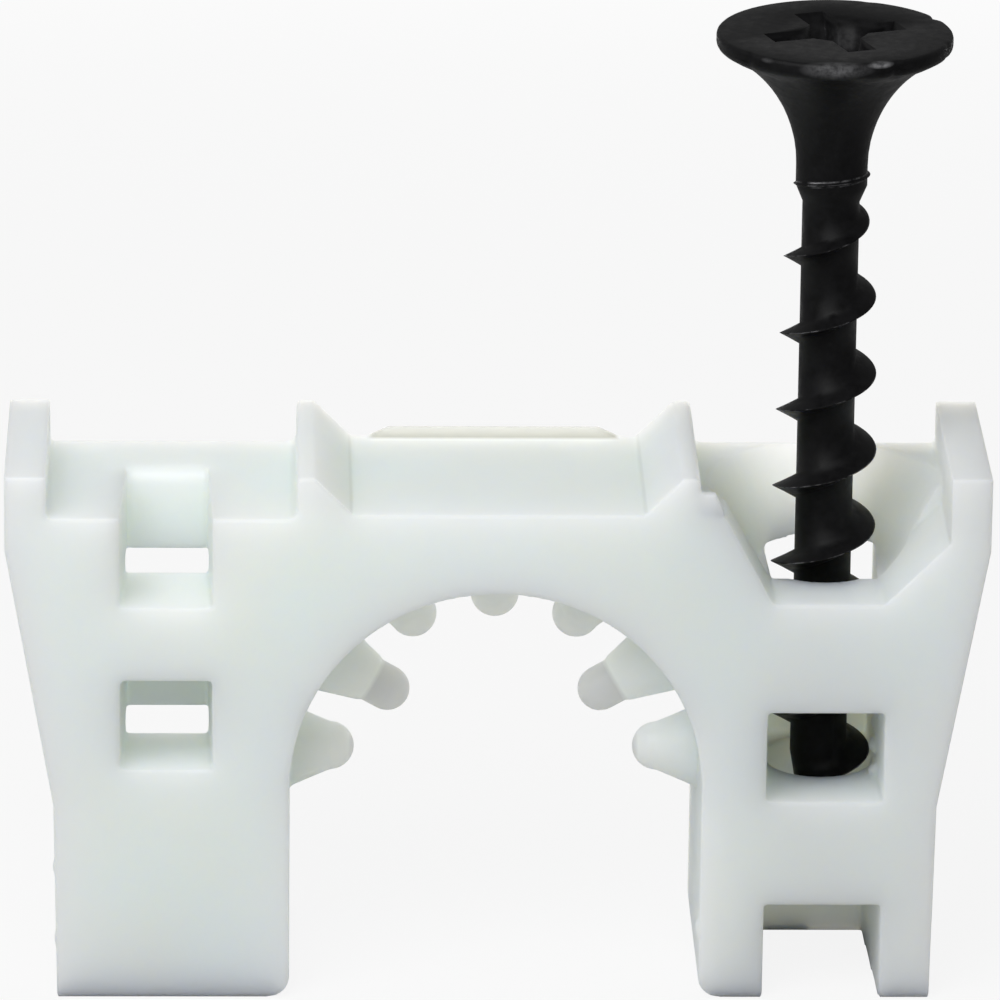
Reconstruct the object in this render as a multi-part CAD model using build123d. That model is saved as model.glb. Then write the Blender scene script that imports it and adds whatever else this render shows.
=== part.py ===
from build123d import *
import math
import os

# Strap moulding, mm. X runs along the strap, Y through it, Z up from the feet
DEPTH = 8.6
ARCH_RADIUS = 7.22
ARCH_Z = 7.9
CROWN = 2.95
LEG_WIDTH = 8.18
KNEE_Z = 7.2
KNEE_FLARE = 0.1
SEAT_DROP = 0.17
SHOULDER_DROP = 1.2
LIP_CLEARANCE = 0.32
LIP_THICKNESS = 1.43
LIP_HEIGHT = 1.5
POST_CLEARANCE = 0.22
POST_TOP_WIDTH = 0.61
POST_FOOT_FILLET = 0.3
POST_TOP_FILLET = 0.2
FOOT_FILLET = 0.75
BACK_EDGE_FILLET = 0.3

# Flexible fingers under the arch, each a cone with a ball end or a collar and a longer tip
FINGER_COUNT = 7
LONG_FINGERS = (1, 5)
FINGER_BASE_RADIUS = 1.47
FINGER_BALL_RADIUS = 0.86
FINGER_LENGTH = 2.29
COLLAR_RADIUS = 0.87
COLLAR_LENGTH = 2.15
LONG_TIP_RADIUS = 0.8
LONG_FINGER_LENGTH = 3.67
FINGER_ROOT = 0.4

# Low rib along the back edge of the cable bed
RIB_BASE_HALF = 4.5
RIB_TOP_HALF = 3.72
RIB_HEIGHT = 0.36
RIB_THICKNESS = 0.55

# Screw, a coarse bugle-head drywall screw, standing as far out as it is supplied
SCREW_STANDOFF = 16.4
SCREW_LENGTH = 31.75
HEAD_DIAMETER = 8.2
HEAD_RIM = 0.5
BUGLE_LENGTH = 4.3
NECK_DIAMETER = 2.5
NECK_LENGTH = 0.7
NECK_TAPER = 0.6
CORE_DIAMETER = 2.0
POINT_LENGTH = 5.2
POINT_TIP_RADIUS = 0.1
BUGLE_BANDS = 4
RECESS_ANGLE_DEG = 19
RECESS_SPAN = 4.9
RECESS_SLOT = 1.05
RECESS_DEPTH = 2.2
RECESS_CORE = 2.2

# Thread, with its places along the screw measured down from the top of the head
THREAD_DIAMETER = 3.66
THREAD_TOP_DIAMETER = 3.2
THREAD_PITCH = 25.4 / 9
THREAD_FLANK_DEG = 28
THREAD_FULL_DROP = 16.3
THREAD_TOP_DROP = 7.45
THREAD_CREST_DROP = 6.73
THREAD_NECK_GAP = 0.2
THREAD_POINT_GAP = 1.0
THREAD_END_HEIGHT = 0.2
THREAD_POINT_HEIGHT = 0.1
THREAD_EMBED = 0.2
THREAD_STEPS = 8

# Screw channel in the right leg, with its depths measured down from the seat
HEAD_LIP_GAP = 0.07
BORE_CLEARANCE = 0.08
FUNNEL_CLEARANCE = 0.04
FUNNEL_DEPTH = 3.12
FUNNEL_BOTTOM_RADIUS = 2.4
MOUTH_SILL_WIDTH = 3.9
MOUTH_OUTER_DROP = 0.86
MOUTH_POST_GAP = 0.52
MOUTH_POST_RISE = 0.9
MOUTH_KNEE_REACH = 3.31
MOUTH_KNEE_DROP = 0.58
GUSSET_DEPTH = 0.4
CHANNEL_WIDTH = 4.12
CHANNEL_FRONT_Y = -1.5
CHANNEL_BACK_Y = 2.05
UPPER_POCKET_RISE = 0.25
UPPER_POCKET_HEIGHT = 4.73
WINDOW_HEIGHT = 3.32
WEB_THICKNESS = 1.4
LOWER_POCKET_HEIGHT = 2.9
POCKET_OVERLAP = 0.42

# Pilot channel in the left leg, for the screw of a strap stacked above
PILOT_WIDTH = 3.24
PILOT_FRONT_Y = -0.85
PILOT_BACK_Y = 0.95
PILOT_LEAD_FILLET = 0.6
PILOT_NOTCH_DEPTH = 3.3
PILOT_FRONT_HEIGHT = 3.3
PILOT_BACK_HEIGHT = 3.62
PILOT_BACK_DROPS = (2.83, 8.76)
PILOT_FRONT_DROP = 6.02

# Moulding draft of the pockets
DRAFT_DEG = 2.0
OVERCUT = 0.5

FRONT_Y = -DEPTH / 2
BACK_Y = DEPTH / 2
BED_Z = ARCH_Z + ARCH_RADIUS + CROWN
SEAT_Z = BED_Z - SEAT_DROP
SHOULDER_Z = SEAT_Z - SHOULDER_DROP
LIP_TOP_Z = SEAT_Z + LIP_HEIGHT
FOOT_X = ARCH_RADIUS + LEG_WIDTH
LIP_INNER_X = FOOT_X + LIP_CLEARANCE
TOP_X = LIP_INNER_X + LIP_THICKNESS
POST_OUTER_X = ARCH_RADIUS - POST_CLEARANCE
HEAD_RADIUS = HEAD_DIAMETER / 2
CORE_RADIUS = CORE_DIAMETER / 2
THREAD_RADIUS = THREAD_DIAMETER / 2
BORE_RADIUS = THREAD_RADIUS + BORE_CLEARANCE
SCREW_X = LIP_INNER_X - HEAD_RADIUS - HEAD_LIP_GAP
HEAD_TOP_Z = SEAT_Z + SCREW_STANDOFF
RIM_Z = HEAD_TOP_Z - HEAD_RIM
NECK_Z = RIM_Z - BUGLE_LENGTH
TIP_Z = HEAD_TOP_Z - SCREW_LENGTH
POINT_TOP_Z = TIP_Z + POINT_LENGTH
CORE_TOP_Z = NECK_Z - NECK_LENGTH - NECK_TAPER
PILOT_X = -SCREW_X
DRAFT_LEAN = math.tan(math.radians(DRAFT_DEG))
ON_BOTTOM = (Align.CENTER, Align.CENTER, Align.MIN)


def front_plane(y):
    """A plane facing the front of the strap, with local x along X and local y up."""
    return Plane(origin=(0, y, 0), x_dir=(1, 0, 0), z_dir=(0, -1, 0))


def prism(points, y_from, y_to):
    """A prism of an outline in X and Z between two depths."""
    face = front_plane(y_from) * make_face(Polyline(*points, close=True))
    return extrude(face, y_to - y_from, dir=(0, 1, 0))


def pocket(x_mid, width, z_low, z_high, y_mouth, y_end):
    """A drafted rectangular pocket, from a mouth on the front or back face inwards."""
    outward = -1 if y_mouth < y_end else 1
    z_mid = (z_low + z_high) / 2
    sections = []
    for y in (y_mouth + outward * OVERCUT, y_end):
        grow = 2 * DRAFT_LEAN * (y - y_mouth) * outward
        plane = Plane(origin=(x_mid, y, z_mid), x_dir=(1, 0, 0), z_dir=(0, -1, 0))
        sections.append(plane * Rectangle(width + grow, z_high - z_low + grow))
    return loft(sections)


def rounding_bar(length, radius):
    """What is taken off a sharp edge along X to round it: a square bar less a rod."""
    bar = Box(length, radius, radius, align=(Align.CENTER, Align.MIN, Align.MIN))
    return bar - Rot(0, 90, 0) * Cylinder(radius, length)


def strap_outline():
    """The strap seen from the front, with its feet, lips, posts and cable bed."""
    post_inner = POST_OUTER_X - POST_TOP_WIDTH
    bed_end = post_inner - (LIP_TOP_Z - BED_Z)
    half = [
        (FOOT_X, 0),
        (FOOT_X + KNEE_FLARE, KNEE_Z),
        (TOP_X, SHOULDER_Z),
        (TOP_X, LIP_TOP_Z),
        (LIP_INNER_X, LIP_TOP_Z),
        (LIP_INNER_X, SEAT_Z),
        (POST_OUTER_X, SEAT_Z),
        (POST_OUTER_X, LIP_TOP_Z),
        (post_inner, LIP_TOP_Z),
        (bed_end, BED_Z),
    ]
    other = [(-x, z) for x, z in reversed(half)]
    outline = make_face(Polyline(*half, *other, close=True))
    outline -= Pos(0, ARCH_Z) * Circle(ARCH_RADIUS)
    outline -= Pos(0, ARCH_Z / 2) * Rectangle(2 * ARCH_RADIUS, ARCH_Z)

    def corners(x, z):
        return [v for v in outline.vertices() if abs(abs(v.X) - x) < 1e-4 and abs(v.Y - z) < 1e-4]

    outline = fillet(corners(POST_OUTER_X, SEAT_Z), POST_FOOT_FILLET)
    outline = fillet(corners(POST_OUTER_X, LIP_TOP_Z), POST_TOP_FILLET)
    outline = fillet(corners(ARCH_RADIUS, 0), FOOT_FILLET)
    return outline


def finger(index):
    """One radial cable finger, short with a ball end or long with a collar and a thinner tip."""
    root = ARCH_RADIUS + FINGER_ROOT
    if index in LONG_FINGERS:
        tip = ARCH_RADIUS - LONG_FINGER_LENGTH
        end_radius = LONG_TIP_RADIUS
        collar = ARCH_RADIUS - COLLAR_LENGTH
        base = [(collar, end_radius), (collar, COLLAR_RADIUS)]
    else:
        tip = ARCH_RADIUS - FINGER_LENGTH
        end_radius = FINGER_BALL_RADIUS
        base = []
    ball = tip + end_radius
    slant = end_radius * math.sqrt(0.5)
    foot = [(ARCH_RADIUS, FINGER_BASE_RADIUS), (root, FINGER_BASE_RADIUS), (root, 0), (tip, 0)]
    outline = [
        ThreePointArc((tip, 0), (ball - slant, slant), (ball, end_radius)),
        Polyline((ball, end_radius), *base, *foot),
    ]
    solid = Rot(90, 0, 0) * revolve(make_face(outline), Axis.X, 360)
    angle = 180 * index / (FINGER_COUNT - 1)
    return Pos(0, 0, ARCH_Z) * Rot(0, -angle, 0) * solid


def rib():
    """The low rib with bevelled ends along the back edge of the cable bed."""
    outline = [
        (-RIB_BASE_HALF, BED_Z - RIB_HEIGHT),
        (-RIB_BASE_HALF, BED_Z),
        (-RIB_TOP_HALF, BED_Z + RIB_HEIGHT),
        (RIB_TOP_HALF, BED_Z + RIB_HEIGHT),
        (RIB_BASE_HALF, BED_Z),
        (RIB_BASE_HALF, BED_Z - RIB_HEIGHT),
    ]
    bar = prism(outline, BACK_Y - RIB_THICKNESS, BACK_Y)
    crest = bar.edges().filter_by(Axis.X).group_by(Axis.Z)[-1].sort_by(Axis.Y)[0]
    return chamfer(crest, RIB_HEIGHT * 0.9)


def gusset():
    """The small web at the front that joins the post by the screw to the seat."""
    post_x = POST_OUTER_X - POST_FOOT_FILLET
    end_x = POST_OUTER_X + MOUTH_POST_GAP + POST_FOOT_FILLET
    low_z = SEAT_Z - POST_FOOT_FILLET
    top_z = SEAT_Z + MOUTH_POST_RISE
    outline = [(post_x, low_z), (end_x, low_z), (end_x, top_z), (post_x, top_z)]
    return prism(outline, FRONT_Y, FRONT_Y + GUSSET_DEPTH)


def screw_mouth():
    """The open front of the funnel, cut in from the front face to the screw's axis."""
    half_sill = MOUTH_SILL_WIDTH / 2
    post_x = POST_OUTER_X + MOUTH_POST_GAP
    sill_z = SEAT_Z - FUNNEL_DEPTH
    above = LIP_TOP_Z + OVERCUT
    outline = [
        (post_x, above),
        (post_x, SEAT_Z + MOUTH_POST_RISE),
        (SCREW_X - MOUTH_KNEE_REACH, SEAT_Z - MOUTH_KNEE_DROP),
        (SCREW_X - half_sill, sill_z),
        (SCREW_X + half_sill, sill_z),
        (LIP_INNER_X, SEAT_Z - MOUTH_OUTER_DROP),
        (LIP_INNER_X, above),
    ]
    return prism(outline, FRONT_Y - OVERCUT, 0)


def screw_channel():
    """Everything cut for the captive screw: funnel, mouth, bore and pockets from both faces."""
    funnel_z = SEAT_Z - FUNNEL_DEPTH
    upper_top = funnel_z + UPPER_POCKET_RISE
    upper_floor = upper_top - UPPER_POCKET_HEIGHT
    window_top = upper_floor + POCKET_OVERLAP
    window_sill = window_top - WINDOW_HEIGHT
    lower_top = window_sill - WEB_THICKNESS
    lower_floor = lower_top - LOWER_POCKET_HEIGHT
    notch_top = lower_floor + POCKET_OVERLAP
    funnel = Cone(FUNNEL_BOTTOM_RADIUS, HEAD_RADIUS + FUNNEL_CLEARANCE, FUNNEL_DEPTH, align=ON_BOTTOM)
    bore = Cylinder(BORE_RADIUS, SEAT_Z, align=ON_BOTTOM)
    return [
        Pos(SCREW_X, 0, funnel_z) * funnel,
        Pos(SCREW_X, 0, 0) * bore,
        screw_mouth(),
        pocket(SCREW_X, CHANNEL_WIDTH, upper_floor, upper_top, BACK_Y, CHANNEL_FRONT_Y),
        pocket(SCREW_X, CHANNEL_WIDTH, window_sill, window_top, FRONT_Y, CHANNEL_BACK_Y),
        pocket(SCREW_X, CHANNEL_WIDTH, lower_floor, lower_top, BACK_Y, CHANNEL_FRONT_Y),
        pocket(SCREW_X, CHANNEL_WIDTH, -notch_top, notch_top, FRONT_Y, CHANNEL_BACK_Y),
    ]


def pilot_channel():
    """The stepped pilot for a stacked strap's screw: pockets from the two faces in turn."""
    notch_floor = SEAT_Z - PILOT_NOTCH_DEPTH
    notch_top = LIP_TOP_Z + OVERCUT
    front_top = SEAT_Z - PILOT_FRONT_DROP
    front_floor = front_top - PILOT_FRONT_HEIGHT
    cuts = [
        pocket(PILOT_X, PILOT_WIDTH, notch_floor, notch_top, FRONT_Y, PILOT_BACK_Y),
        pocket(PILOT_X, PILOT_WIDTH, front_floor, front_top, FRONT_Y, PILOT_BACK_Y),
    ]
    for drop in PILOT_BACK_DROPS:
        top = SEAT_Z - drop
        cuts.append(pocket(PILOT_X, PILOT_WIDTH, top - PILOT_BACK_HEIGHT, top, BACK_Y, PILOT_FRONT_Y))
    lead_width = PILOT_WIDTH - 2 * DRAFT_LEAN * (PILOT_BACK_Y - FRONT_Y)
    lead = Rot(0, 0, 180) * rounding_bar(lead_width, PILOT_LEAD_FILLET)
    cuts.append(Pos(PILOT_X, PILOT_BACK_Y + PILOT_LEAD_FILLET, SEAT_Z - PILOT_LEAD_FILLET) * lead)
    return cuts


def seat_back_edge(side):
    """What is taken off the sharp back edge of one seat to round it."""
    length = LIP_INNER_X - POST_OUTER_X - POST_FOOT_FILLET
    middle = side * (LIP_INNER_X + POST_OUTER_X + POST_FOOT_FILLET) / 2
    bar = rounding_bar(length, BACK_EDGE_FILLET)
    return Pos(middle, BACK_Y - BACK_EDGE_FILLET, SEAT_Z - BACK_EDGE_FILLET) * bar


def build_strap():
    """The whole moulding."""
    body = extrude(front_plane(0) * strap_outline(), DEPTH / 2, both=True)
    for side in (-1, 1):
        body -= seat_back_edge(side)
    body += gusset()
    body += rib()
    for cut in screw_channel() + pilot_channel():
        body -= cut
    for index in range(FINGER_COUNT):
        body += finger(index)
    return body


def radius_at(z, table):
    """The radius at a height, between the height and radius pairs of a table."""
    for (z_low, r_low), (z_high, r_high) in zip(table, table[1:]):
        if z <= z_high:
            break
    return r_low + (r_high - r_low) * (z - z_low) / (z_high - z_low)


def thread():
    """The coarse thread: a helical ridge that follows the point and runs out below the neck."""
    end_z = CORE_TOP_Z - THREAD_NECK_GAP
    crest_radii = [
        (TIP_Z, POINT_TIP_RADIUS + THREAD_POINT_HEIGHT),
        (POINT_TOP_Z, THREAD_RADIUS),
        (HEAD_TOP_Z - THREAD_FULL_DROP, THREAD_RADIUS),
        (HEAD_TOP_Z - THREAD_TOP_DROP, THREAD_TOP_DIAMETER / 2),
        (end_z, CORE_RADIUS + THREAD_END_HEIGHT),
    ]
    core_radii = [(TIP_Z, POINT_TIP_RADIUS), (POINT_TOP_Z, CORE_RADIUS), (end_z, CORE_RADIUS)]
    lean = math.tan(math.radians(THREAD_FLANK_DEG))
    right_crest_z = HEAD_TOP_Z - THREAD_CREST_DROP
    rise = THREAD_PITCH / THREAD_STEPS
    first = math.ceil((TIP_Z + THREAD_POINT_GAP - right_crest_z) / rise)
    last = math.floor((end_z - right_crest_z) / rise)
    rails = [[], [], []]
    for step in range(first, last + 1):
        angle = 2 * math.pi * step / THREAD_STEPS
        z = right_crest_z + rise * step
        crest = radius_at(z, crest_radii)
        root = radius_at(z, core_radii) * (1 - THREAD_EMBED)
        root_half = (crest - root) * lean
        for rail, (radius, height) in zip(rails, ((root, -root_half), (crest, 0), (root, root_half))):
            rail.append((radius * math.cos(angle), radius * math.sin(angle), z + height))
    shared = [step / (last - first) for step in range(last - first + 1)]
    edges = [Edge.make_spline(rail, parameters=shared) for rail in rails]
    faces = [Face.make_surface_from_curves(edges[i - 1], edges[i]) for i in range(len(edges))]
    for end in (0, -1):
        faces += make_face(Polyline(*[rail[end] for rail in rails], close=True)).faces()
    return Solid(Shell(faces))


def shank_and_head():
    """The plain screw: point, core, neck and bugle head, without thread or recess."""
    neck = NECK_DIAMETER / 2
    flare = HEAD_RADIUS - neck
    bow = (flare**2 + BUGLE_LENGTH**2) / (2 * flare)
    turn = math.asin(BUGLE_LENGTH / bow)
    bugle = []
    for band in range(BUGLE_BANDS + 1):
        angle = turn * band / BUGLE_BANDS
        bugle.append((neck + bow * (1 - math.cos(angle)), NECK_Z + bow * math.sin(angle)))
    outline = Polyline(
        (0, HEAD_TOP_Z),
        (0, TIP_Z),
        (POINT_TIP_RADIUS, TIP_Z),
        (CORE_RADIUS, POINT_TOP_Z),
        (CORE_RADIUS, CORE_TOP_Z),
        (neck, NECK_Z - NECK_LENGTH),
        *bugle,
        (HEAD_RADIUS, HEAD_TOP_Z),
        close=True,
    )
    return revolve(make_face(Plane.XZ * outline), Axis.Z, 360)


def cross_recess():
    """The cross recess in the head: two tapered slots and a tapered middle."""
    floor_z = HEAD_TOP_Z - RECESS_DEPTH
    slot_top = Plane.XY.offset(HEAD_TOP_Z) * Rectangle(RECESS_SPAN, RECESS_SLOT)
    slot_floor = Plane.XY.offset(floor_z) * Rectangle(RECESS_CORE, RECESS_SLOT * 0.8)
    slot = loft([slot_top, slot_floor])
    middle_top = Plane.XY.offset(HEAD_TOP_Z) * Rectangle(RECESS_CORE, RECESS_CORE)
    middle_floor = Plane.XY.offset(floor_z) * Rectangle(RECESS_CORE * 0.6, RECESS_CORE * 0.6)
    middle = Rot(0, 0, 45) * loft([middle_top, middle_floor])
    cross = slot + Rot(0, 0, 90) * slot + middle
    return Rot(0, 0, RECESS_ANGLE_DEG) * cross


def build_screw():
    """The captive screw at the height it is supplied at."""
    screw = shank_and_head() + thread() - cross_recess()
    return Pos(SCREW_X, 0, 0) * screw


os.makedirs("parts", exist_ok=True)
strap_body = build_strap()
mounting_screw = build_screw()
export_step(strap_body, "parts/strap_body.step")
export_step(mounting_screw, "parts/mounting_screw.step")
for name, part in (("strap_body", strap_body), ("mounting_screw", mounting_screw)):
    print(name, round(part.volume, 2), part.is_valid, len(part.solids()))
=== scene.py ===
import math

import bmesh
import bpy
from mathutils import Matrix, Vector


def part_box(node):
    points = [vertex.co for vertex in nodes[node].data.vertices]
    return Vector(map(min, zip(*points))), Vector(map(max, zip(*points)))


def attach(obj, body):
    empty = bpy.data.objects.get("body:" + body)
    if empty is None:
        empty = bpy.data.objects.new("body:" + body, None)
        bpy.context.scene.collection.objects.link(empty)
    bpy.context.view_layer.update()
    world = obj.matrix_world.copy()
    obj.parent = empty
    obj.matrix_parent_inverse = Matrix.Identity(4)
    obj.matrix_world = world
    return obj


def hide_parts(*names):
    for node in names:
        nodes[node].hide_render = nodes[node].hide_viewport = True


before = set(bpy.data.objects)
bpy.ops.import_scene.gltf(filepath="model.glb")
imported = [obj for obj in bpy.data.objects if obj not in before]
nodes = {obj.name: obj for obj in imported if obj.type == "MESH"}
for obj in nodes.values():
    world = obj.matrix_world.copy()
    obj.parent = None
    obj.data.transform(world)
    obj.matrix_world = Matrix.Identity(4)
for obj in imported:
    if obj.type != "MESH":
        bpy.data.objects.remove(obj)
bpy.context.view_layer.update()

MM = 0.001
WHITE = (1, 1, 1, 1)

# Camera of the photograph, in mm and degrees, for a 1000 pixel frame
CAMERA_PLACE = (-8.52, -302.836, 123.225)
CAMERA_ELEVATION = 19.302
CAMERA_YAW = -1.64
CAMERA_ROLL = 0.669
FOCAL_PIXELS = 9130.944
FRAME_PIXELS = 1000
SENSOR_WIDTH = 36.0
CLIP_NEAR = 10
CLIP_FAR = 10000


def add_object(name, data):
    """A new object in the scene."""
    obj = bpy.data.objects.new(name, data)
    bpy.context.scene.collection.objects.link(obj)
    return obj


def make_camera():
    """The photograph's long-lens view, a little above the strap."""
    e, yaw, roll = (math.radians(a) for a in (CAMERA_ELEVATION, CAMERA_YAW, CAMERA_ROLL))
    back = Vector((math.sin(yaw) * math.cos(e), -math.cos(yaw) * math.cos(e), math.sin(e)))
    right = Vector((math.cos(yaw), math.sin(yaw), 0))
    up = back.cross(right)
    x_axis = right * math.cos(roll) + up * math.sin(roll)
    y_axis = up * math.cos(roll) - right * math.sin(roll)
    data = bpy.data.cameras.new("camera")
    data.sensor_width = SENSOR_WIDTH
    data.lens = SENSOR_WIDTH * FOCAL_PIXELS / FRAME_PIXELS
    data.clip_start = CLIP_NEAR * MM
    data.clip_end = CLIP_FAR * MM
    camera = add_object("camera", data)
    turn = Matrix((x_axis, y_axis, back)).transposed().to_4x4()
    camera.matrix_world = Matrix.Translation(Vector(CAMERA_PLACE) * MM) @ turn
    bpy.context.scene.camera = camera


class Graph:
    """A small helper that adds nodes to one node tree and links them."""

    def __init__(self, tree):
        self.tree = tree
        tree.nodes.clear()

    def add(self, kind, inputs=(), **settings):
        node = self.tree.nodes.new(kind)
        for name, value in settings.items():
            setattr(node, name, value)
        for name, value in dict(inputs).items():
            self.put(node, name, value)
        return node

    def put(self, node, name, value):
        if isinstance(value, bpy.types.NodeSocket):
            self.tree.links.new(value, node.inputs[name])
        else:
            node.inputs[name].default_value = value

    def noise(self, place, scale, detail, roughness):
        node = self.add(
            "ShaderNodeTexNoise",
            {"Vector": place, "Scale": scale, "Detail": detail, "Roughness": roughness},
        )
        return node.outputs["Fac"]

    def remap(self, value, band, result=(0, 1)):
        """One band of a value spread over another, and held at its ends."""
        ends = {"From Min": band[0], "From Max": band[1], "To Min": result[0], "To Max": result[1]}
        return self.add("ShaderNodeMapRange", {"Value": value, **ends}).outputs["Result"]

    def math(self, operation, a, b):
        node = self.add("ShaderNodeMath", {0: a, 1: b}, operation=operation)
        return node.outputs["Value"]

    def vector(self, operation, a, b):
        node = self.add("ShaderNodeVectorMath", {0: a, 1: b}, operation=operation)
        return node.outputs["Value" if operation == "DOT_PRODUCT" else "Vector"]

    def length(self, a):
        return self.add("ShaderNodeVectorMath", {0: a}, operation="LENGTH").outputs["Value"]

    def mix(self, factor, a, b):
        node = self.add("ShaderNodeMix", data_type="RGBA")
        self.put(node, 0, factor)
        self.put(node, 6, a)
        self.put(node, 7, b)
        return node.outputs[2]


def in_metres(lengths):
    return [length * MM for length in lengths]


def new_material(name):
    material = bpy.data.materials.new(name)
    material.use_nodes = True
    return material, Graph(material.node_tree)


# Milky nylon: colours, noises (scale per metre, detail, roughness), bands of them, and surface in mm
NYLON_PALE = (0.775, 0.84, 0.835, 1)
NYLON_WARM = (0.785, 0.83, 0.8, 1)
CLOUD_NOISE = (160, 3, 0.5)
CLOUD_BAND = (0.35, 0.7)
SWIRL_NOISE = (700, 3, 0.5)
SWIRL_BAND = (0.3, 0.7)
NYLON_BUMP = 0.05
NYLON_BUMP_DEPTH = 0.1
NYLON_ROUGHNESS = (0.36, 0.48)
NYLON_SPECULAR = 0.4
NYLON_IOR = 1.5
SCATTER_DEPTH = 5.0
SCATTER_SHARES = (1.0, 0.93, 0.74)

# Painted shade on the finger tips, darker and bluer towards their ends: its colour, and the reach in mm
# from the arch's axis over which it comes in
NYLON_TIP_SHADE = (0.52, 0.54, 0.58, 1)
ARCH_Z = 7.9
TIP_SHADE_BAND = (5.15, 4.95)

# Painted shade on the thin rib of the cable bed: its colour, and the levels and the places along X in mm
# where it begins
NYLON_RIB_SHADE = (0.3, 0.325, 0.32, 1)
RIB_RISE = (18.08, 18.16)
RIB_ENDS = (5.2, 4.8)


def nylon_material():
    """Milky nylon: light scatters inside it, and the moulded skin is satin. Painted shade darkens the
    finger tips and the thin rib on the cable bed.
    """
    material, g = new_material("natural_nylon")
    place = g.add("ShaderNodeTexCoord").outputs["Object"]
    cloud = g.noise(place, *CLOUD_NOISE)
    milky = g.mix(g.remap(cloud, CLOUD_BAND), NYLON_PALE, NYLON_WARM)
    # Painted shade on the finger tips, within a reach of the arch's axis
    from_arch = g.vector("SUBTRACT", place, (0, 0, ARCH_Z * MM))
    reach = g.length(g.vector("MULTIPLY", from_arch, (1, 0, 1)))
    clear = g.remap(reach, in_metres(TIP_SHADE_BAND))
    # Painted shade on the thin rib along the top of the cable bed
    apart = g.add("ShaderNodeSeparateXYZ", {0: place}).outputs
    above_bed = g.remap(apart["Z"], in_metres(RIB_RISE))
    within = g.remap(g.math("ABSOLUTE", apart["X"], 0), in_metres(RIB_ENDS))
    rib_shaded = g.mix(g.math("MULTIPLY", above_bed, within), milky, NYLON_RIB_SHADE)
    swirl = g.noise(place, *SWIRL_NOISE)
    bump = g.add(
        "ShaderNodeBump",
        {"Strength": NYLON_BUMP, "Distance": NYLON_BUMP_DEPTH * MM, "Height": swirl},
    )
    shader = g.add(
        "ShaderNodeBsdfPrincipled",
        {
            # The milky tone, with the painted shade of the rib and of the finger tips
            "Base Color": g.mix(clear, rib_shaded, NYLON_TIP_SHADE),
            "Roughness": g.remap(swirl, SWIRL_BAND, NYLON_ROUGHNESS),
            "Subsurface Weight": 1.0,
            "Subsurface Radius": SCATTER_SHARES,
            "Subsurface Scale": SCATTER_DEPTH * MM,
            "IOR": NYLON_IOR,
            "Specular IOR Level": NYLON_SPECULAR,
            "Normal": bump.outputs[0],
        },
    )
    g.add("ShaderNodeOutputMaterial", {"Surface": shader.outputs[0]})
    return material


# Black phosphate: colours, noise (scale per metre, detail, roughness), bands of it, and surface in mm
PHOSPHATE_DARK = (0.0025, 0.0025, 0.0027, 1)
PHOSPHATE_GREY = (0.006, 0.006, 0.0066, 1)
MOTTLE_NOISE = (2600, 5, 0.6)
MOTTLE_BAND = (0.35, 0.7)
SHEEN_BAND = (0.3, 0.7)
PHOSPHATE_BUMP = 0.25
PHOSPHATE_BUMP_DEPTH = 0.03
PHOSPHATE_ROUGHNESS = (0.4, 0.55)
PHOSPHATE_SPECULAR = 0.1

# Bare steel where the phosphate is rubbed on edges, found by how a rounded normal turns, and in spots of
# wear; the same grey paints highlights in some spots
STEEL_GREY_WEAR_AND_HIGHLIGHT = (0.3, 0.3, 0.31, 1)
EDGE_RADIUS = 0.07
EDGE_SAMPLES = 3
EDGE_BAND = (0.99, 0.82)
BROKEN_NOISE = (1100, 4, 0.65)
BROKEN_BAND = (0.46, 0.62)
FLECK_NOISE = (5000, 3, 0.6)
FLECK_BAND = (0.3, 0.6)
FLECK_LEVELS = (0.3, 1)
SPOT_BAND = (1, 0.1)


def phosphate_material(wear_and_highlight_spots):
    """Black phosphate over steel, rubbed grey on sharp edges, and grey at the given places: spots of
    wear and painted highlights.
    """
    material, g = new_material("black_phosphate")
    place = g.add("ShaderNodeTexCoord").outputs["Object"]
    mottle = g.noise(place, *MOTTLE_NOISE)
    base = g.mix(g.remap(mottle, MOTTLE_BAND), PHOSPHATE_DARK, PHOSPHATE_GREY)
    rounded = g.add("ShaderNodeBevel", {"Radius": EDGE_RADIUS * MM}, samples=EDGE_SAMPLES).outputs[0]
    plain = g.add("ShaderNodeNewGeometry").outputs["Normal"]
    edge = g.remap(g.vector("DOT_PRODUCT", rounded, plain), EDGE_BAND)
    broken = g.remap(g.noise(place, *BROKEN_NOISE), BROKEN_BAND)
    wear_and_highlight_mask = g.math("MULTIPLY", edge, broken)
    flecks = g.remap(g.noise(place, *FLECK_NOISE), FLECK_BAND, FLECK_LEVELS)
    # Spots of wear and painted highlights, mixed towards the grey
    for centre, half_size, strength in wear_and_highlight_spots:
        reach = g.length(g.vector("DIVIDE", g.vector("SUBTRACT", place, centre), half_size))
        spot = g.math("MULTIPLY", g.remap(reach, SPOT_BAND, (0, strength)), flecks)
        wear_and_highlight_mask = g.math("MAXIMUM", wear_and_highlight_mask, spot)
    bump = g.add(
        "ShaderNodeBump",
        {
            "Strength": PHOSPHATE_BUMP,
            "Distance": PHOSPHATE_BUMP_DEPTH * MM,
            "Height": mottle,
            "Normal": rounded,
        },
    )
    shader = g.add(
        "ShaderNodeBsdfPrincipled",
        {
            "Base Color": g.mix(wear_and_highlight_mask, base, STEEL_GREY_WEAR_AND_HIGHLIGHT),
            "Roughness": g.remap(mottle, SHEEN_BAND, PHOSPHATE_ROUGHNESS),
            "Specular IOR Level": PHOSPHATE_SPECULAR,
            "Normal": bump.outputs[0],
        },
    )
    g.add("ShaderNodeOutputMaterial", {"Surface": shader.outputs[0]})
    return material


# Pieces made from a CAD node's mesh, in mm and degrees
WELD_DISTANCE = 0.0002
SHARP_DEG = 35


def dress(obj, material):
    obj.data.materials.clear()
    obj.data.materials.append(material)


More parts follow.
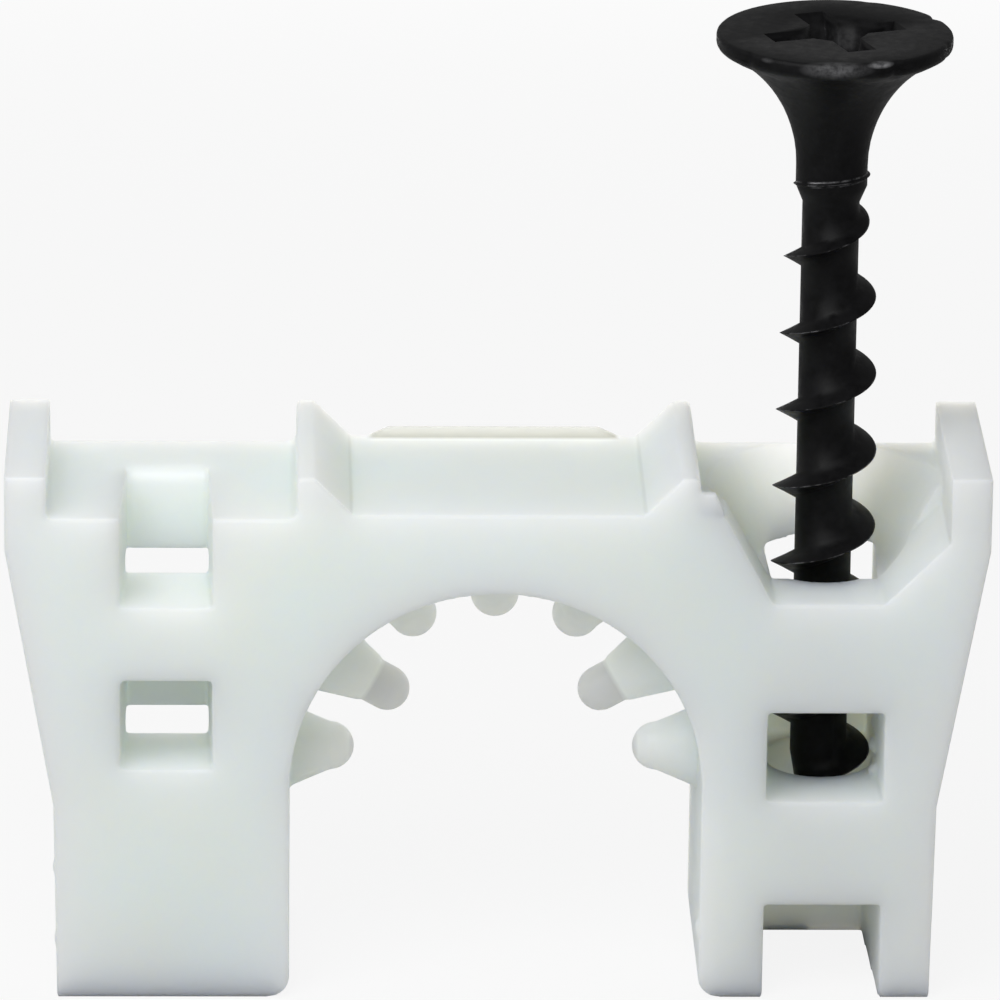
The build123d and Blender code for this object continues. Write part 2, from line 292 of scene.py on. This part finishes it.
def welded_copy(node):
    """The mesh of a CAD node as one closed skin, in mm, for a piece that replaces it."""
    skin = bmesh.new()
    skin.from_mesh(nodes[node].data)
    skin.transform(Matrix.Scale(1 / MM, 4) @ nodes[node].matrix_world)
    bmesh.ops.remove_doubles(skin, verts=skin.verts, dist=WELD_DISTANCE)
    return skin


def new_piece(name, skin, body, node, material):
    """A piece in metres from a mesh in mm, riding on a body in place of a CAD node."""
    bmesh.ops.scale(skin, vec=(MM, MM, MM), verts=skin.verts)
    for face in skin.faces:
        face.smooth = True
    mesh = bpy.data.meshes.new(name)
    skin.to_mesh(mesh)
    skin.free()
    mesh.set_sharp_from_angle(angle=math.radians(SHARP_DEG))
    piece = add_object(name, mesh)
    dress(piece, material)
    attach(piece, body)
    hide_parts(node)


def with_modifiers(skin, settings):
    """The mesh in mm after a list of modifiers, each a type and its settings."""
    mesh = bpy.data.meshes.new("work")
    skin.to_mesh(mesh)
    skin.free()
    work = add_object("work", mesh)
    for kind, values in settings:
        modifier = work.modifiers.new(kind, kind)
        for name, value in values.items():
            setattr(modifier, name, value)
    shaped = work.evaluated_get(bpy.context.evaluated_depsgraph_get())
    result = bmesh.new()
    result.from_mesh(shaped.data)
    bpy.data.objects.remove(work)
    bpy.data.meshes.remove(mesh)
    return result


# Softened strap, in mm
SOFT_VOXEL = 0.08
SOFT_FACTOR = 0.5
SOFT_PASSES = 3
SOFT_TRIANGLES = 180000

# Mould flash on the edges and cut nylon in the screw's window: centre and half sizes in mm
LUMP_DIVISIONS = 3
FLASH = (
    ((-15.44, -4.1, 4.9), (0.09, 0.2, 0.3)),
    ((-15.41, -4.1, 2.2), (0.08, 0.2, 0.32)),
    ((7.2, -3.9, 2.5), (0.1, 0.3, 0.35)),
    ((8.0, -4.1, 0.12), (0.12, 0.2, 0.1)),
    ((13.45, -1.2, 8.4), (0.2, 0.35, 0.25)),
    ((13.52, -0.5, 9.0), (0.15, 0.3, 0.2)),
    ((13.42, -2.0, 7.75), (0.22, 0.3, 0.2)),
)


def add_lump(skin, centre, radii):
    """A rounded lump in a mesh."""
    place = Matrix.Translation(centre) @ Matrix.Diagonal((*radii, 1))
    bmesh.ops.create_icosphere(skin, subdivisions=LUMP_DIVISIONS, radius=1, matrix=place)


def make_strap():
    """The moulding with every edge and corner softened as moulded nylon is."""
    skin = welded_copy("strap_body")
    for centre, radii in FLASH:
        add_lump(skin, centre, radii)
    skin = with_modifiers(
        skin,
        [
            ("REMESH", {"mode": "VOXEL", "voxel_size": SOFT_VOXEL}),
            ("SMOOTH", {"factor": SOFT_FACTOR, "iterations": SOFT_PASSES}),
        ],
    )
    triangles = 2 * len(skin.faces)
    skin = with_modifiers(skin, [("DECIMATE", {"ratio": SOFT_TRIANGLES / triangles})])
    new_piece("soft_strap", skin, "strap", "strap_body", nylon_material())


# Head of the screw, in mm
RIM_HEIGHT = 0.5
RIM_CUTS = 3
RIM_ROUND = 0.15
RIM_SEGMENTS = 3
ROUND_PROFILE = 0.5
NECK_RADIUS = 1.25
BUGLE_LENGTH = 4.3
BUGLE_CUTS = 3

# Slack in mm for what counts as level, on the rim or on the flare, and the least rise of a steep edge
LEVEL_SLACK = 0.01
RIM_SLACK = 0.02
FLARE_SLACK = 0.08
LEAST_RISE = 0.05

# Dents in the rim: degrees round the screw from +X, width in degrees, depth in mm
DENTS = (
    (26, 3.5, 0.16),
    (-78, 5, 0.1),
    (-62, 2.5, 0.12),
    (-140, 3, 0.06),
    (-20, 2.5, 0.05),
    (70, 3, 0.05),
)

# Rubbed places on the rim, with painted highlights on the rim's side and on the lit walls of the recess:
# mm from the middle of the head's top, half size, strength
WEAR_AND_HIGHLIGHT_SPOTS = (
    ((1.4, -3.85, -0.08), (0.6, 0.5, 0.12), 0.7),
    # Painted highlight on the side of the rim
    ((-0.2, -4.1, -0.22), (1.5, 0.6, 0.36), 0.36),
    ((-2.5, -3.2, -0.1), (0.3, 0.3, 0.1), 0.15),
    # Painted highlight on the lit walls of the recess
    ((0, 0, -0.66), (2.7, 2.7, 0.62), 0.13),
)

# Run-out of the thread, in mm below the head's top and degrees round the screw from +X
RUNOUT_FROM_TOP = 5.15
RUNOUT_DROP = 0.5
RUNOUT_BOW = 0.25
RUNOUT_TURN = (40, -215)
RUNOUT_STEPS = 48
RUNOUT_HEIGHT = 0.13
RUNOUT_HALF = 0.14
RUNOUT_EMBED = 0.1


def polar(axis, v):
    """Radius and angle in degrees of a vertex round the screw."""
    offset = v.co - axis
    return math.hypot(offset.x, offset.y), math.degrees(math.atan2(offset.y, offset.x))


def set_radius(axis, v, radius):
    """Moves a vertex straight in or out to a radius round the screw."""
    out = Vector((v.co.x - axis.x, v.co.y - axis.y, 0)).normalized()
    v.co.x, v.co.y = (axis + out * radius).xy


def rise(edge):
    return abs(edge.verts[0].co.z - edge.verts[1].co.z)


def smooth_bugle(skin, axis, radius, top):
    """Turns the banded flare under the head into one smooth curve."""
    flare = radius - NECK_RADIUS
    bow = (flare**2 + BUGLE_LENGTH**2) / (2 * flare)
    foot = top - RIM_HEIGHT - BUGLE_LENGTH

    def curve(v):
        return NECK_RADIUS + bow - math.sqrt(bow**2 - (v.co.z - foot) ** 2)

    def on_flare(v):
        level = -LEVEL_SLACK < v.co.z - foot < BUGLE_LENGTH + LEVEL_SLACK
        return level and abs(polar(axis, v)[0] - curve(v)) < FLARE_SLACK

    edges = [e for e in skin.edges if rise(e) > LEAST_RISE and all(map(on_flare, e.verts))]
    bmesh.ops.subdivide_edges(skin, edges=edges, cuts=BUGLE_CUTS)
    for v in filter(on_flare, skin.verts):
        set_radius(axis, v, curve(v))


def finish_rim(skin, axis, radius, top):
    """Rounds the rim of the head and gives it the dents of loose handling."""

    def on_rim(v):
        return v.co.z > top - RIM_HEIGHT - LEVEL_SLACK and polar(axis, v)[0] > radius - RIM_SLACK

    def rings():
        return [e for e in skin.edges if rise(e) < LEVEL_SLACK and all(map(on_rim, e.verts))]

    bmesh.ops.subdivide_edges(skin, edges=rings(), cuts=RIM_CUTS)
    for v in filter(on_rim, skin.verts):
        set_radius(axis, v, radius)
    bmesh.ops.bevel(
        skin,
        geom=rings(),
        offset=RIM_ROUND,
        segments=RIM_SEGMENTS,
        profile=ROUND_PROFILE,
        affect="EDGES",
    )
    for v in skin.verts:
        far, angle = polar(axis, v)
        if v.co.z < top - RIM_HEIGHT - RIM_ROUND or far < radius - 2 * RIM_ROUND:
            continue
        for at, width, depth in DENTS:
            off = (angle - at + 180) % 360 - 180
            far -= depth * math.exp(-((off / width) ** 2))
        set_radius(axis, v, far)


def add_runout(skin, axis, top):
    """The last shallow turn of the thread, where it dies out on the neck."""
    start, end = (math.radians(angle) for angle in RUNOUT_TURN)
    root = NECK_RADIUS - RUNOUT_EMBED
    rings = []
    for step in range(RUNOUT_STEPS + 1):
        share = step / RUNOUT_STEPS
        angle = start + (end - start) * share
        swell = math.sin(math.pi * share)
        z = top - RUNOUT_FROM_TOP - RUNOUT_DROP * share + RUNOUT_BOW * swell
        crest = NECK_RADIUS + RUNOUT_HEIGHT * math.sqrt(swell)
        out = Vector((math.cos(angle), math.sin(angle), 0))
        section = ((root, -RUNOUT_HALF), (crest, 0), (root, RUNOUT_HALF))
        rings.append([skin.verts.new(axis + out * r + Vector((0, 0, z + dz))) for r, dz in section])
    for one, two in zip(rings, rings[1:]):
        for i in range(len(one)):
            skin.faces.new((one[i - 1], one[i], two[i], two[i - 1]))
    skin.faces.new(rings[0][::-1])
    skin.faces.new(rings[-1])


def make_screw():
    """The screw with a smooth flare, a rounded, dented rim and the thread's run-out."""
    low, high = (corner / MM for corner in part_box("mounting_screw"))
    axis = Vector(((low.x + high.x) / 2, (low.y + high.y) / 2, 0))
    radius, top = (high.x - low.x) / 2, high.z
    skin = welded_copy("mounting_screw")
    smooth_bugle(skin, axis, radius, top)
    finish_rim(skin, axis, radius, top)
    add_runout(skin, axis, top)
    bmesh.ops.recalc_face_normals(skin, faces=skin.faces)
    middle = axis + Vector((0, 0, top))
    wear_and_highlight_spots = [((middle + Vector(at)) * MM, Vector(size) * MM, strength) for at, size, strength in WEAR_AND_HIGHLIGHT_SPOTS]
    material = phosphate_material(wear_and_highlight_spots)
    new_piece("finished_screw", skin, "screw", "mounting_screw", material)


# White floor, in mm, with the share of its light that shows the shadow
FLOOR_SIZE = 3000
FLOOR_COLOUR = (0.6, 0.6, 0.6, 1)
FLOOR_SHADOW_SHARE = 0.12


def make_floor():
    """A plain white floor that keeps a faint shadow of the strap."""
    half = FLOOR_SIZE / 2 * MM
    mesh = bpy.data.meshes.new("floor")
    corners = [(-half, -half, 0), (half, -half, 0), (half, half, 0), (-half, half, 0)]
    mesh.from_pydata(corners, [], [(0, 1, 2, 3)])
    floor = add_object("floor", mesh)
    material, g = new_material("floor_white")
    matt = g.add("ShaderNodeBsdfDiffuse", {"Color": FLOOR_COLOUR})
    white = g.add("ShaderNodeEmission", {"Color": WHITE, "Strength": 1.0})
    seen = g.add("ShaderNodeLightPath").outputs["Is Camera Ray"]
    share = g.math("MULTIPLY", seen, 1 - FLOOR_SHADOW_SHARE)
    both = g.add("ShaderNodeMixShader", {0: share, 1: matt.outputs[0], 2: white.outputs[0]})
    g.add("ShaderNodeOutputMaterial", {"Surface": both.outputs[0]})
    dress(floor, material)


WORLD_STRENGTH = 0.36


def make_world():
    """A white surround for the eye and an even pale light for the object."""
    world = bpy.data.worlds.new("world")
    bpy.context.scene.world = world
    world.use_nodes = True
    g = Graph(world.node_tree)
    light = g.add("ShaderNodeBackground", {"Color": WHITE, "Strength": WORLD_STRENGTH})
    white = g.add("ShaderNodeBackground", {"Color": WHITE, "Strength": 1.0})
    seen = g.add("ShaderNodeLightPath").outputs["Is Camera Ray"]
    both = g.add("ShaderNodeMixShader", {0: seen, 1: light.outputs[0], 2: white.outputs[0]})
    g.add("ShaderNodeOutputWorld", {"Surface": both.outputs[0]})


# Lamps: name, place in mm, width and height in mm, power in watts, whether it shows in gloss
LAMPS = (
    ("key_softbox", (-35, -62, 95), (80, 80), 0.096, True),
    ("back_softbox", (15, 165, 9), (260, 17), 0.27, False),
)
LAMP_AIM = (0, 0, 12)


def make_lamps():
    """Soft studio lamps, one above and before the strap and one low behind it."""
    for name, place, size, power, glossy in LAMPS:
        data = bpy.data.lights.new(name, "AREA")
        data.shape = "RECTANGLE"
        data.size, data.size_y = in_metres(size)
        data.energy = power
        lamp = add_object(name, data)
        lamp.location = Vector(place) * MM
        aim = (Vector(LAMP_AIM) - Vector(place)).normalized()
        lamp.rotation_mode = "QUATERNION"
        lamp.rotation_quaternion = aim.to_track_quat("-Z", "Y")
        lamp.visible_camera = False
        lamp.visible_glossy = glossy


bpy.context.scene.view_settings.view_transform = "Standard"
make_camera()
make_world()
make_lamps()
make_floor()
make_strap()
make_screw()
